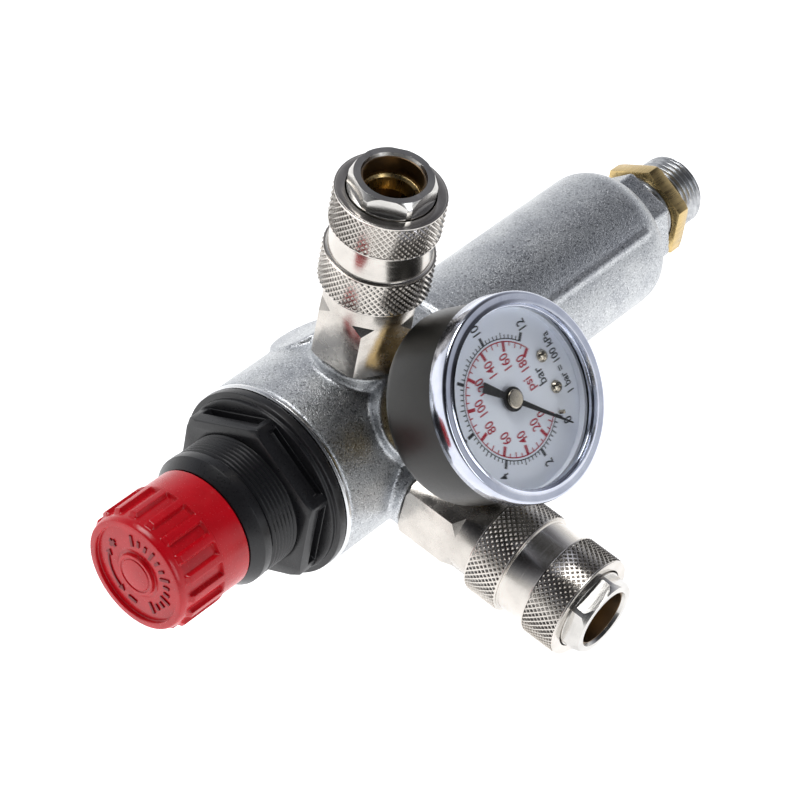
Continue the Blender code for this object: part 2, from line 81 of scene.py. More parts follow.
# Couplers, by height
BASE_FLATS = 18.95
NOSE_FLATS = 15.9
KNURL_R = 11.68
KNURL_DEPTH = 0.5
KNURL_COUNT = 54
KNURL_BANDS = ((43.7, 51.1), (58.9, 66.5))

# Gauge, by height
DIAL_TOP = 53.0
PRINT_HEIGHT = 0.03
STEM_FLATS = 13.95
POINTER_REST = -45.0
ZERO_ANGLE = 227.0
BAR_START = 234.8
BAR_STEP = 23.25
PSI_STEP = 1.615
PSI_BAND_R = 11.55
PSI_DIGITS_R = 7.9
BAR_BAND_R = 12.15
BAR_DIGITS_R = 15.5


# ---------------------------------------------------------------- frames

def main_axis():
    """Local z is the station along the main axis, local x is +Y and local y is +Z."""
    axes = Matrix(((0, 0, 1, 0), (1, 0, 0, 0), (0, 1, 0, 0), (0, 0, 0, 1)))
    return Matrix.Translation((-INLET_END * MM, 0, 0)) @ axes


def branch(angle):
    """Local z is the height along a branch, and local x is +X."""
    a = math.radians(angle)
    out = Vector((0, math.sin(a), math.cos(a)))
    along = Vector((1, 0, 0))
    axes = Matrix((along, out.cross(along), out)).transposed().to_4x4()
    return Matrix.Translation(((PORT_STATION - INLET_END) * MM, 0, 0)) @ axes


def turned_by(place, degrees):
    return place @ Matrix.Rotation(math.radians(degrees), 4, "Z")


def shifted(place, x, y, z=0):
    return place @ Matrix.Translation((x * MM, y * MM, z * MM))


# ---------------------------------------------------------------- mesh tools

def from_bmesh(name, bm, material, place, sharp=35):
    bmesh.ops.recalc_face_normals(bm, faces=bm.faces)
    mesh = bpy.data.meshes.new(name)
    bm.to_mesh(mesh)
    bm.free()
    mesh.shade_smooth()
    mesh.set_sharp_from_angle(angle=math.radians(sharp))
    thing = bpy.data.objects.new(name, mesh)
    if material:
        mesh.materials.append(material)
    thing.matrix_world = place
    bpy.context.scene.collection.objects.link(thing)
    return thing


def from_grid(name, grid, material, place, sharp=35):
    """A mesh over a numpy grid of points, rows by columns by xyz; columns wrap around."""
    rows, columns = grid.shape[:2]
    bm = bmesh.new()
    verts = [[bm.verts.new(grid[i, j] * MM) for j in range(columns)] for i in range(rows)]
    for i in range(rows - 1):
        for j in range(columns):
            n = (j + 1) % columns
            bm.faces.new((verts[i][j], verts[i][n], verts[i + 1][n], verts[i + 1][j]))
    return from_bmesh(name, bm, material, place, sharp)


def rounded(outline, radius, steps=3):
    """Round every corner of a closed outline, apart from those on the axis."""
    points = []
    count = len(outline)
    for i, spot in enumerate(outline):
        p = Vector(spot)
        before = Vector(outline[i - 1]) - p
        after = Vector(outline[(i + 1) % count]) - p
        room = min(before.length, after.length) * 0.45
        if spot[0] <= 1e-6 or room < 1e-4:
            points.append(tuple(p))
            continue
        turn = before.angle(after)
        if turn > math.radians(168):
            points.append(tuple(p))
            continue
        cut = min(radius / math.tan(turn / 2), room)
        a = p + before.normalized() * cut
        b = p + after.normalized() * cut
        for k in range(steps + 1):
            t = k / steps
            points.append(tuple(a * (1 - t) ** 2 + p * 2 * t * (1 - t) + b * t ** 2))
    return points


def turned(name, outline, material, place, segments=ROUND, sharp=35):
    """Turn a closed outline of (radius, height) points about the local z axis."""
    bm = bmesh.new()
    rings = []
    for r, z in outline:
        if r < 1e-6:
            rings.append([bm.verts.new((0, 0, z * MM))])
            continue
        spots = [2 * math.pi * k / segments for k in range(segments)]
        rings.append([bm.verts.new((r * MM * math.cos(a), r * MM * math.sin(a), z * MM))
                      for a in spots])
    for first, second in zip(rings, rings[1:] + rings[:1]):
        for k in range(segments):
            n = (k + 1) % segments
            if len(first) == 1 and len(second) == 1:
                continue
            if len(first) == 1:
                bm.faces.new((first[0], second[n], second[k]))
            elif len(second) == 1:
                bm.faces.new((first[k], first[n], second[0]))
            else:
                bm.faces.new((first[k], first[n], second[n], second[k]))
    return from_bmesh(name, bm, material, place, sharp)


def ring(inner, outer, low, high):
    return [(inner, low), (outer, low), (outer, high), (inner, high)]


def rod(radius, low, high):
    return [(0, low), (radius, low), (radius, high), (0, high)]


def arc(centre, radius, start, end, steps):
    turns = [math.radians(start + (end - start) * i / steps) for i in range(steps + 1)]
    return [(centre[0] + radius * math.cos(t), centre[1] + radius * math.sin(t)) for t in turns]


def plate(name, outline, low, high, material, place, sharp=35):
    """Extrude a flat (x, y) outline between two heights."""
    bm = bmesh.new()
    face = bm.faces.new([bm.verts.new((x * MM, y * MM, low * MM)) for x, y in outline])
    extruded = bmesh.ops.extrude_face_region(bm, geom=[face])
    top = [v for v in extruded["geom"] if isinstance(v, bmesh.types.BMVert)]
    bmesh.ops.translate(bm, verts=top, vec=(0, 0, (high - low) * MM))
    return from_bmesh(name, bm, material, place, sharp)


def corner_radius(sides, flats):
    return flats / 2 / math.cos(math.pi / sides)


def polygon(sides, flats, turn):
    corner = corner_radius(sides, flats)
    angles = [math.radians(turn) + 2 * math.pi * i / sides for i in range(sides)]
    return [(corner * math.cos(a), corner * math.sin(a)) for a in angles]


def prism(name, sides, flats, low, high, turn, material, place):
    return plate(name, polygon(sides, flats, turn), low, high, material, place)


def applied(target):
    """Bake the modifiers into the mesh."""
    bpy.context.view_layer.update()
    graph = bpy.context.evaluated_depsgraph_get()
    solid = bpy.data.meshes.new_from_object(target.evaluated_get(graph))
    target.modifiers.clear()
    target.data = solid
    return target


def combine(target, operation, *tools):
    step = target.modifiers.new(operation.title(), "BOOLEAN")
    step.operation = operation
    step.solver = "EXACT"
    group = bpy.data.collections.new("tools")
    if len(tools) == 1:
        step.object = tools[0]
    else:
        for tool in tools:
            group.objects.link(tool)
        step.use_self = True
        step.operand_type = "COLLECTION"
        step.collection = group
    applied(target)
    for tool in tools:
        bpy.data.objects.remove(tool)
    bpy.data.collections.remove(group)
    return target


def bevelled(target, width, segments=2):
    """Round the hard edges, so that they catch the light."""
    step = target.modifiers.new("Bevel", "BEVEL")
    step.width = width * MM
    step.segments = segments
    step.limit_method = "ANGLE"
    step.angle_limit = math.radians(BEVEL_ABOVE)
    step.use_clamp_overlap = True
    applied(target)
    target.data.shade_smooth()
    target.data.set_sharp_from_angle(angle=math.radians(CREASE_ABOVE))
    return target


def remeshed(target, voxel, smooth):
    """One even skin over a joined shape, with its inner corners softened as in a casting."""
    step = target.modifiers.new("Remesh", "REMESH")
    step.mode = "VOXEL"
    step.voxel_size = voxel * MM
    ease = target.modifiers.new("Smooth", "SMOOTH")
    ease.factor = 0.5
    ease.iterations = smooth
    applied(target)
    target.data.shade_smooth()
    return target


def rides(thing, body, *nodes, slot=None):
    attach(thing, body)
    if nodes:
        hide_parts(*nodes)
    return thing


# ---------------------------------------------------------------- materials

class Look:
    """Builds one procedural material around a Principled shader."""

    def __init__(self, name, colour, roughness, metallic=0.0):
        self.material = bpy.data.materials.new(name)
        self.material.use_nodes = True
        self.tree = self.material.node_tree
        self.shader = self.tree.nodes["Principled BSDF"]
        self.set("Base Color", (*colour, 1.0))
        self.set("Roughness", roughness)
        self.set("Metallic", metallic)
        self.place = self.node("ShaderNodeTexCoord").outputs["Object"]
        self.last_bump = None

    def node(self, kind, **values):
        made = self.tree.nodes.new(kind)
        for key, value in values.items():
            setattr(made, key, value)
        return made

    def link(self, source, target):
        self.tree.links.new(source, target)

    def set(self, socket, value):
        self.shader.inputs[socket].default_value = value

    def stretched(self, scale, turn=(0, 0, 0)):
        mapping = self.node("ShaderNodeMapping")
        mapping.inputs["Scale"].default_value = scale
        mapping.inputs["Rotation"].default_value = turn
        self.link(self.place, mapping.inputs["Vector"])
        return mapping.outputs["Vector"]

    def noise(self, size, detail=3.0, rough=0.55, vector=None):
        """Noise whose features are about the given size in millimetres."""
        made = self.node("ShaderNodeTexNoise")
        made.inputs["Scale"].default_value = 1 / (size * MM)
        made.inputs["Detail"].default_value = detail
        made.inputs["Roughness"].default_value = rough
        self.link(vector or self.place, made.inputs["Vector"])
        return made.outputs["Fac"]

    def ramp(self, source, *stops):
        made = self.node("ShaderNodeValToRGB")
        marks = made.color_ramp.elements
        while len(marks) < len(stops):
            marks.new(0.5)
        for mark, (at, value) in zip(marks, stops):
            mark.position = at
            mark.color = (*value, 1.0) if isinstance(value, tuple) else (value, value, value, 1.0)
        self.link(source, made.inputs["Fac"])
        return made.outputs["Color"]

    def bump(self, height, strength, distance):
        made = self.node("ShaderNodeBump")
        made.inputs["Strength"].default_value = strength
        made.inputs["Distance"].default_value = distance * MM
        self.link(height, made.inputs["Height"])
        if self.last_bump:
            self.link(self.last_bump, made.inputs["Normal"])
        self.last_bump = made.outputs["Normal"]
        self.link(self.last_bump, self.shader.inputs["Normal"])

    def colour_from(self, source):
        self.link(source, self.shader.inputs["Base Color"])

    def rough_from(self, source):
        self.link(source, self.shader.inputs["Roughness"])

    def mixed(self, factor, first, second, mode="MIX"):
        made = self.node("ShaderNodeMix", data_type="RGBA", blend_type=mode)
        self.feed(made.inputs[0], factor)
        self.feed(made.inputs[6], first)
        self.feed(made.inputs[7], second)
        return made.outputs[2]

    def feed(self, socket, value):
        if isinstance(value, bpy.types.NodeSocket):
            self.link(value, socket)
        elif isinstance(value, tuple):
            socket.default_value = (*value, 1.0)
        else:
            socket.default_value = value


def cast_zinc():
    look = Look("cast_zinc", (0.62, 0.63, 0.64), 0.4, 1.0)
    blotch = look.noise(7.0, 4.0)
    grain = look.noise(0.5, 2.0, 0.7)
    speck = look.noise(0.25, 1.0, 0.5)
    tone = look.ramp(blotch, (0.3, (0.44, 0.46, 0.49)), (0.7, (0.66, 0.68, 0.69)))
    sparkle = look.ramp(speck, (0.57, 0.0), (0.66, 1.0))
    pits = look.ramp(grain, (0.32, (0.45, 0.45, 0.47)), (0.46, (1.0, 1.0, 1.0)))
    tone = look.mixed(1.0, tone, pits, "MULTIPLY")
    look.colour_from(look.mixed(sparkle, tone, (0.9, 0.91, 0.93)))
    look.rough_from(look.ramp(grain, (0.3, 0.28), (0.7, 0.46)))
    look.bump(blotch, 0.3, 0.3)
    look.bump(grain, 0.7, 0.12)
    look.bump(speck, 0.6, 0.07)
    return look.material


def trimmed_zinc():
    look = Look("trimmed_zinc", (0.8, 0.81, 0.82), 0.22, 1.0)
    scratch = look.noise(1.2, 3.0, 0.6, look.stretched((1, 1, 14)))
    look.rough_from(look.ramp(scratch, (0.3, 0.16), (0.75, 0.34)))
    look.bump(scratch, 0.25, 0.03)
    return look.material


def nickel(name, colour=(0.74, 0.70, 0.65), rough=0.2, streaks=(0.06, 0.06, 1.6)):
    """Plated metal; the streaks are the marks of turning, or none where they are even."""
    look = Look(name, colour, rough, 1.0)
    marks = look.noise(0.6, 3.0, 0.6, look.stretched(streaks))
    cloud = look.noise(5.0, 3.0)
    darker = tuple(0.82 * c for c in colour)
    look.colour_from(look.ramp(cloud, (0.3, darker), (0.7, colour)))
    look.rough_from(look.ramp(marks, (0.3, rough * 0.75), (0.75, rough * 1.4)))
    look.bump(marks, 0.14, 0.02)
    return look.material


def knurled_nickel():
    """Bright crests over valleys darkened with painted shade, told apart by their distance from the
    sleeve's axis.
    """
    look = Look("knurled_nickel", (0.70, 0.66, 0.61), 0.24, 1.0)
    flat = look.node("ShaderNodeVectorMath", operation="MULTIPLY")
    flat.inputs[1].default_value = (1, 1, 0)
    look.link(look.place, flat.inputs[0])
    radius = look.node("ShaderNodeVectorMath", operation="LENGTH")
    look.link(flat.outputs[0], radius.inputs[0])
    depth = look.node("ShaderNodeMapRange")
    depth.inputs["From Min"].default_value = (KNURL_R - 0.1 - KNURL_DEPTH) * MM
    depth.inputs["From Max"].default_value = KNURL_R * MM
    look.link(radius.outputs["Value"], depth.inputs["Value"])
    # Painted shade: the colour darkens with depth, so the valleys between the diamonds look shaded.
    tone = look.ramp(depth.outputs["Result"],
                     (0.0, (0.05, 0.042, 0.035)), (0.3, (0.16, 0.14, 0.12)),
                     (0.55, (0.66, 0.62, 0.57)), (1.0, (0.86, 0.83, 0.79)))
    grime = look.ramp(look.noise(3.0, 3.0), (0.35, (0.72, 0.70, 0.68)), (0.65, (1.0, 1.0, 1.0)))
    look.colour_from(look.mixed(1.0, tone, grime, "MULTIPLY"))
    look.rough_from(look.ramp(look.noise(0.4, 2.0), (0.3, 0.18), (0.7, 0.32)))
    look.bump(look.noise(0.25, 2.0), 0.15, 0.02)
    return look.material


def brass(name="turned_brass", colour=(0.78, 0.58, 0.27)):
    look = Look(name, colour, 0.25, 1.0)
    drawn = look.noise(0.9, 4.0, 0.65, look.stretched((1, 1, 0.12)))
    stain = look.noise(3.0, 3.0)
    dark = tuple(0.62 * c for c in colour)
    tone = look.ramp(drawn, (0.35, dark), (0.62, colour))
    look.colour_from(look.mixed(0.35, tone, look.ramp(stain, (0.35, dark), (0.65, colour))))
    look.rough_from(look.ramp(drawn, (0.3, 0.18), (0.7, 0.38)))
    look.bump(drawn, 0.3, 0.03)
    return look.material


def thread_steel():
    look = Look("thread_metal", (0.52, 0.53, 0.55), 0.28, 1.0)
    wear = look.noise(1.5, 4.0)
    look.colour_from(look.ramp(wear, (0.3, (0.40, 0.41, 0.43)), (0.7, (0.66, 0.67, 0.68))))
    look.bump(look.noise(0.3, 2.0), 0.25, 0.03)
    return look.material


def chrome():
    look = Look("chrome_bezel", (0.64, 0.67, 0.77), 0.17, 1.0)
    smear = look.noise(6.0, 3.0)
    look.colour_from(look.ramp(smear, (0.35, (0.58, 0.61, 0.71)), (0.65, (0.72, 0.75, 0.84))))
    look.rough_from(look.ramp(smear, (0.35, 0.12), (0.75, 0.24)))
    look.bump(look.noise(2.5, 2.0), 0.06, 0.05)
    return look.material


def case_paint():
    look = Look("case_paint", (0.014, 0.013, 0.011), 0.36)
    grain = look.noise(0.3, 2.0, 0.6)
    cloud = look.noise(8.0, 3.0)
    look.colour_from(look.ramp(cloud, (0.3, (0.011, 0.0105, 0.009)), (0.7, (0.02, 0.019, 0.016))))
    look.rough_from(look.ramp(grain, (0.3, 0.28), (0.7, 0.42)))
    look.bump(grain, 0.2, 0.04)
    return look.material


def plastic(name, colour, rough, grain_strength):
    look = Look(name, colour, rough)
    grain = look.noise(0.5, 3.0, 0.6)
    cloud = look.noise(6.0, 3.0)
    darker = tuple(0.8 * c for c in colour)
    look.colour_from(look.ramp(cloud, (0.3, darker), (0.7, colour)))
    look.rough_from(look.ramp(grain, (0.3, rough * 0.8), (0.75, rough * 1.25)))
    look.bump(grain, grain_strength, 0.04)
    return look.material


def dial_paint():
    # The dial's own white, with a bluish cast that is painted reflection of cool light.
    look = Look("dial_paint", (0.88, 0.92, 1.0), 0.5)
    cloud = look.noise(9.0, 2.0)
    look.colour_from(look.ramp(cloud, (0.3, (0.86, 0.90, 0.99)), (0.7, (0.90, 0.94, 1.0))))
    look.bump(look.noise(0.25, 2.0), 0.06, 0.02)
    return look.material


def ink(name, colour):
    look = Look(name, colour, 0.5)
    look.bump(look.noise(0.2, 2.0), 0.1, 0.01)
    return look.material


def window():
    look = Look("clear_window", (0.97, 0.985, 1.0), 0.02)
    look.set("Transmission Weight", 1.0)
    look.set("IOR", 1.1)
    look.set("Alpha", 0.15)
    look.bump(look.noise(9.0, 1.0), 0.02, 0.05)
    return look.material


def rubber():
    look = Look("rubber", (0.02, 0.02, 0.02), 0.7)
    look.bump(look.noise(0.3, 2.0), 0.2, 0.03)
    return look.material


LOOKS = {}


def make_looks():
    LOOKS.update({
        "cast": cast_zinc(),
        "trim": trimmed_zinc(),
        "nickel": nickel("nickel_plate", (0.76, 0.72, 0.67), 0.2),
        "flats": nickel("nickel_flats", (0.70, 0.66, 0.61), 0.24, (0.3, 0.3, 0.3)),
        "knurl": knurled_nickel(),
        "nose": nickel("nose_nickel", (0.72, 0.70, 0.67), 0.2),
        # A dark brown, rougher copy of the nickel, used as the lining inside each coupler mouth.
        "dark_lining": nickel("dark_brown_lining", (0.22, 0.15, 0.09), 0.34),
        # Very dark brass for the gauge stem: painted shade for the stem where it sits under the
        # gauge.
        "shade_darkened_brass": brass("shade_darkened_brass", (0.15, 0.10, 0.055)),
        "seat": plastic("seat_plastic", (0.22, 0.16, 0.07), 0.5, 0.2),
        "steel": nickel("bright_steel", (0.66, 0.66, 0.66), 0.2),
        "screw": nickel("screw_steel", (0.52, 0.47, 0.38), 0.2),
        "spring": nickel("spring_wire", (0.42, 0.42, 0.44), 0.3),
        "brass": brass(),
        "bronze": brass("sintered_bronze", (0.45, 0.30, 0.16)),
        "thread": thread_steel(),
        "chrome": chrome(),
        "case": case_paint(),
        "black": plastic("black_plastic", (0.014, 0.014, 0.016), 0.32, 0.25),
        "red": plastic("red_plastic", (0.72, 0.004, 0.014), 0.24, 0.1),
        "red_deep": plastic("red_marks", (0.30, 0.002, 0.008), 0.4, 0.1),
        "dial": dial_paint(),
        "ink_black": ink("ink_black", (0.015, 0.016, 0.02)),
        "ink_red": ink("ink_red", (0.42, 0.01, 0.03)),
        "pointer": ink("pointer_black", (0.012, 0.012, 0.013)),
        "window": window(),
        "rubber": rubber(),
    })


# ---------------------------------------------------------------- body

def body_shell():
    dome = (BARREL_R - DOME_R, BARREL_END)
    outline = [
        (18.6, 1.0), (BODY_R, 1.0), (BODY_R, HOUSING_END - 1.0),
        *arc((BODY_R - 1.0, HOUSING_END - 1.0), 1.0, 0, 90, 3), (17.6, HOUSING_END + 0.2),
        (17.6, 47.8), (18.15, 48.3), (18.15, 52.5), (BARREL_R, 53.6), *arc(dome, DOME_R, 0, 90, 10),
        (7.2, BARREL_END + DOME_R), (7.2, NECK_END - 2), (5.7, NECK_END - 2),
        (5.7, 112), (12.5, 106), (12.5, 34), (15, 34), (15, 13), (18.6, 13),
    ]
    place = main_axis()
    body = turned("body_casting", outline, LOOKS["cast"], place, FINE)
    neck = prism("neck", 6, NECK_FLATS, 110, NECK_END, 15, None, place)
    combine(neck, "DIFFERENCE", turned("bore", rod(6.5, 105, 125), None, place))
    tools = [neck]
    for angle in (GAUGE_ANGLE, GAUGE_ANGLE + 180):
        way = turned_by(place, 90 - angle)
        high = BARREL_R + 0.5
        rib = plate("rib", [(15, -0.9), (high - 0.35, -0.9), (high, -0.45), (high, 0.45),
                            (high - 0.35, 0.9), (15, 0.9)], 53, BARREL_END, None, way)
        tools.append(rib)
    for angle in (*COUPLER_ANGLES, GAUGE_ANGLE):
        bore = 6.9 if angle in COUPLER_ANGLES else 5.1
        tools.append(turned("boss", ring(bore, 9.8, 19.5, 23.9), None, branch(angle)))
    spare = turned("spare", rounded(rod(7.0, 19, 21.8), 0.4), None, branch(SPARE_PORT_ANGLE))
    tools.append(spare)
    combine(body, "UNION", *tools)
    remeshed(body, 0.42, 3)
    return rides(body, "regulator", "regulator_body", slot="cast_zinc")


def body_rim():
    """The front rim is trimmed bright where the bonnet's flange meets it."""
    outline = rounded([(18.7, 0.02), (BODY_R - 0.35, 0.02), (BODY_R, 0.4), (BODY_R, 1.05),
                       (18.7, 1.05)], 0.12, 2)
    return rides(turned("body_rim", outline, LOOKS["trim"], main_axis(), FINE), "regulator",
                 slot="cast_zinc")


def thread(name, outer, depth, pitch, low, high, inner, material, place, columns=96, ends=1.0):
    """A screw thread with chamfered ends around a bore."""
    step = pitch / 12
    heights = np.arange(low, high + step / 2, step)
    angles = np.linspace(0, 2 * math.pi, columns, endpoint=False)
    z, a = np.meshgrid(heights, angles, indexing="ij")
    phase = (z / pitch - a / (2 * math.pi)) % 1.0
    tooth = np.clip(1.25 - 2.6 * np.abs(phase - 0.5), 0, 1)
    from_end = np.minimum(z - low, high - z)
    cone = outer - depth - 0.25 + (depth + 0.25) * np.clip(from_end / ends, 0, 1)
    r = np.minimum(outer - depth + depth * tooth, cone)
    outside = np.stack([r * np.cos(a), r * np.sin(a), z], axis=-1)
    lip = (inner * np.cos(angles), inner * np.sin(angles))
    lip_low = np.stack([*lip, np.full(columns, low)], -1)
    lip_high = np.stack([*lip, np.full(columns, high)], -1)
    grid = np.concatenate([lip_low[None], outside, lip_high[None], lip_low[None]])
    return from_grid(name, grid, material, place, sharp=60)


def inlet():
    place = main_axis()
    pieces = [
        thread("inlet_thread", THREAD_R, 0.72, THREAD_PITCH, 122.6, INLET_END - 0.02, 5.7,
               LOOKS["thread"], place),
        turned("inlet_bore", rounded(ring(5.65, 5.9, 113, INLET_END - 0.3), 0.05, 1),
               LOOKS["thread"], place),
    ]
    for piece in pieces:
        rides(piece, "regulator", slot="cast_zinc")
    nut = prism("lock_nut", 6, NUT_FLATS, 124.95, 128.6, 27.5, LOOKS["brass"], place)
    corner = corner_radius(6, NUT_FLATS)
    lathe = turned("lathe", [(0, 120), (corner + 1, 120), (corner + 0.4, 125.0),
                             (corner + 0.4, 127.9), (corner - 1.3, 128.9), (0, 128.9)], None, place)
    combine(nut, "INTERSECT", lathe)
    bore = turned("bore", [(0, 120), (8.7, 120), (8.7, 128.1), (9.2, 128.8), (0, 128.8)],
                  None, place)
    combine(nut, "DIFFERENCE", bore)
    bevelled(nut, 0.12)
    rides(nut, "regulator", "inlet_lock_nut", slot="brass")


# ---------------------------------------------------------------- bonnet

def bonnet():
    place = main_axis()
    collar = turned("bonnet_collar", rounded([
        (11.3, -20.3), (13.25, -20.3), (14.95, -17.8), (14.95, -15.8), (14.2, -15.6),
        (14.2, -14.4), (11.3, -14.4)], 0.15), LOOKS["black"], place, FINE)
    ridges = thread("bonnet_thread", 14.85, 0.45, 1.03, -15.5, -7.6, 13.4, LOOKS["black"], place,
                    128, 0.4)
    tube = turned("bonnet_tube", rounded(ring(4.5, 11.15, -29.9, -14), 0.3, 2),
                  LOOKS["black"], place)
    hexagon = prism("bonnet_hexagon", 6, BONNET_FLATS, -8.3, -2.5, 90, LOOKS["black"], place)
    corner = corner_radius(6, BONNET_FLATS)
    lathe = turned("lathe", [(0, -12), (corner - 2.6, -12), (corner - 1.2, -8.35),
                             (corner + 0.2, -7.5), (corner + 0.5, 0), (0, 0)], None, place)
    combine(hexagon, "INTERSECT", lathe)
    pockets = [turned("bore", rod(14.0, -12, 0), None, place)]
    for k in range(6):
        way = turned_by(place, 120 + 60 * k)
        outline = [(15.2, -7.6), (19, -8.8), (19, 8.8), (15.2, 7.6)]
        pockets.append(plate("pocket", outline, -5.4, -3.3, None, way))
    combine(hexagon, "DIFFERENCE", *pockets)
    bevelled(hexagon, 0.22)
    flange = turned("bonnet_flange", rounded([
        (13.5, -3.2), (19.9, -3.2), (19.9, -2.3), (21.15, -2.3), (21.15, -0.35),
        (13.5, -0.35)], 0.25), LOOKS["black"], place, FINE)
    shell = rides(hexagon, "regulator", "bonnet", slot="black_plastic")
    for piece in (collar, ridges, tube, flange):
        rides(piece, "regulator", slot="black_plastic")
    return shell


# ---------------------------------------------------------------- knob

def knob_shell():
    """Grip with raised ribs behind a smooth front, a stepped skirt and a hollow behind."""
    place = main_axis()
    columns = GROOVES * 30
    core = KNOB_R - FLUTE_DEPTH
    front = [(9.0, KNOB_FACE + 0.9), (10.8, KNOB_FACE + 0.9), (11.0, KNOB_FACE + 0.75),
             (11.02, KNOB_FACE + 0.14), (11.15, KNOB_FACE)]
    grip = [(12.2, KNOB_FACE), (12.4, KNOB_FACE + 0.06), (12.52, KNOB_FACE + 0.2),
            (core - 0.05, KNOB_FACE + 1.0), (core, KNOB_FACE + 1.3)]
    flutes = [(KNOB_R, z) for z in np.arange(KNOB_FACE + 1.5, KNOB_LIP - 0.3, 0.16)]
    rear = [(KNOB_R, KNOB_LIP - 0.12), (KNOB_R - 0.1, KNOB_LIP), (KNOB_SKIRT_R, KNOB_LIP + 0.12),
            (KNOB_SKIRT_R, KNOB_REAR - 0.3), (KNOB_SKIRT_R - 0.25, KNOB_REAR), (11.6, KNOB_REAR),
            (11.6, -36.3), (9, -36.3)]
    outline = front + grip + flutes + rear
    angles = np.linspace(0, 2 * math.pi, columns, endpoint=False)
    pitch = 2 * math.pi / GROOVES
    across = np.abs((angles + pitch / 2) % pitch - pitch / 2) * KNOB_R
    wall = np.clip((FLUTE_HALF - across) / 0.42, 0, 1)
    low, high = KNOB_FACE + 1.9, KNOB_LIP - 0.5
    grid = np.zeros((len(outline), columns, 3))
    for i, (r, z) in enumerate(outline):
        rise = min(1.0, max(0.0, (z - low) / 0.8))
        closing = min(1.0, max(0.0, (high - z) / 0.35))
        fluted = z < KNOB_LIP - 0.2 and r == KNOB_R
        radius = core + FLUTE_DEPTH * rise * (1 - wall * closing) if fluted else r
        grid[i, :, 0] = radius * np.cos(angles)
        grid[i, :, 1] = radius * np.sin(angles)
        grid[i, :, 2] = z
    grid = np.concatenate([grid, grid[:1]])
    knob = from_grid("knob_shell", grid, LOOKS["red"], place, sharp=38)
    return rides(knob, "adjusting_knob", "adjusting_knob", slot="red_plastic")


def knob_face():
    """Recessed floor, a raised boss, and an arc arrow from plus to minus with a row of ticks."""
    place = main_axis()
    floor = KNOB_FACE + 0.85
    face = turned("knob_face", rounded([
        (0, KNOB_FACE + 0.06), (3.5, KNOB_FACE + 0.06), (3.65, KNOB_FACE + 0.3),
        (3.95, KNOB_FACE + 0.3), (4.1, KNOB_FACE + 0.06), (4.65, KNOB_FACE + 0.06),
        (4.75, floor + 0.1), (5.35, floor + 0.1), (5.6, floor), (11.2, floor),
        (11.2, floor + 2), (0, floor + 2)], 0.16, 3), LOOKS["red"], place, FINE)
    rides(face, "adjusting_knob", slot="red_plastic")
    marks = []

    def slab(outline, way=place):
        marks.append(plate("mark", outline, floor - 0.28, floor + 0.3, LOOKS["red_deep"], way))

    def bar(radius, degrees, turn, length, width=0.72):
        way = turned_by(shifted(place, *polar(radius, degrees)), turn)
        half = length / 2
        side = width / 2
        slab([(-half, -side), (half, -side), (half, side), (-half, side)], way)

    def polar(radius, degrees):
        a = math.radians(degrees)
        return radius * math.cos(a), radius * math.sin(a)

    slab(arc((0, 0), 8.05, 0, -65, 16) + arc((0, 0), 7.65, -65, 0, 16))
    slab([polar(7.85, 6), polar(8.7, -4), polar(7.85, -1), polar(7.0, -4)])
    slab([polar(7.85, -71), polar(8.7, -61), polar(7.85, -64), polar(7.0, -61)])
    bar(7.9, 22, 22, 2.0)
    bar(7.9, 22, 112, 2.0)
    bar(8.0, -88, -178, 2.2)
    for k in range(13):
        at = 70 + 13.5 * k
        bar(7.9, at, at, 2.6 if k % 3 == 0 else 1.5, 0.62)
    body = marks[0]
    combine(body, "UNION", *marks[1:])
    body.name = "knob_marks"
    body.data.shade_smooth()
    body.data.set_sharp_from_angle(angle=math.radians(35))
    rides(body, "adjusting_knob", slot="red_plastic")


# ---------------------------------------------------------------- couplers

def coupler_base(number, place, turn):
    """Hexagon whose corners are cut back, above, to make a twelve-sided collar."""
    corner = corner_radius(6, BASE_FLATS)
    base = prism(f"coupler_hexagon_{number}", 6, BASE_FLATS, 24.3, 42.95, turn, LOOKS["flats"],
                 place)
    foot = turned("lathe", [(0, 20), (corner - 1.3, 20), (corner - 1.3, 23.6),
                            (corner + 0.2, 25.2), (corner + 0.2, 50), (0, 50)], None, place)
    combine(base, "INTERSECT", foot)
    facets = turned("lathe", [(0, 20), (12, 20), (12, 35.6), (9.94, 38), (9.94, 50), (0, 50)], None,
                    turned_by(place, turn + 15), 12)
    combine(base, "INTERSECT", facets)
    bore = turned("bore", [(0, 14), (4.2, 14), (4.2, 38.5), (7.3, 38.5), (7.3, 45), (0, 45)],
                  None, place)
    combine(base, "DIFFERENCE", bore)
    bevelled(base, 0.16)
    rides(base, "regulator", f"coupler_base_{number}", slot="nickel")
    spigot = turned(f"coupler_spigot_{number}", ring(4.2, 6.35, 16, 24.6), LOOKS["nickel"], place)
    rides(spigot, "regulator", slot="nickel")


def knurl_band(name, low, high, outer, material, place):
    """Raised diamonds between two families of crossing grooves."""
    steps = 6
    columns = KNURL_COUNT * steps
    tall = 2 * math.pi * outer / KNURL_COUNT * 1.06
    rows = round((high - low) / tall * steps)
    z, a = np.meshgrid(np.linspace(low, high, rows + 1),
                       np.linspace(0, 2 * math.pi, columns, endpoint=False), indexing="ij")
    u = a / (2 * math.pi) * KNURL_COUNT
    v = (z - low) / tall
    from_groove = [np.abs((w + 0.5) % 1.0 - 0.5) for w in (u + v, u - v)]
    crest = np.clip(np.minimum(*from_groove) / 0.42, 0, 1)
    r = outer - KNURL_DEPTH + KNURL_DEPTH * crest
    shell = np.stack([r * np.cos(a), r * np.sin(a), z], axis=-1)
    inside = shell[[0, -1]].copy()
    inside[..., :2] *= (outer - 0.9) / r[[0, -1]][..., None]
    grid = np.concatenate([inside[:1], shell, inside[1:], inside[:1]])
    return from_grid(name, grid, material, place, sharp=25)


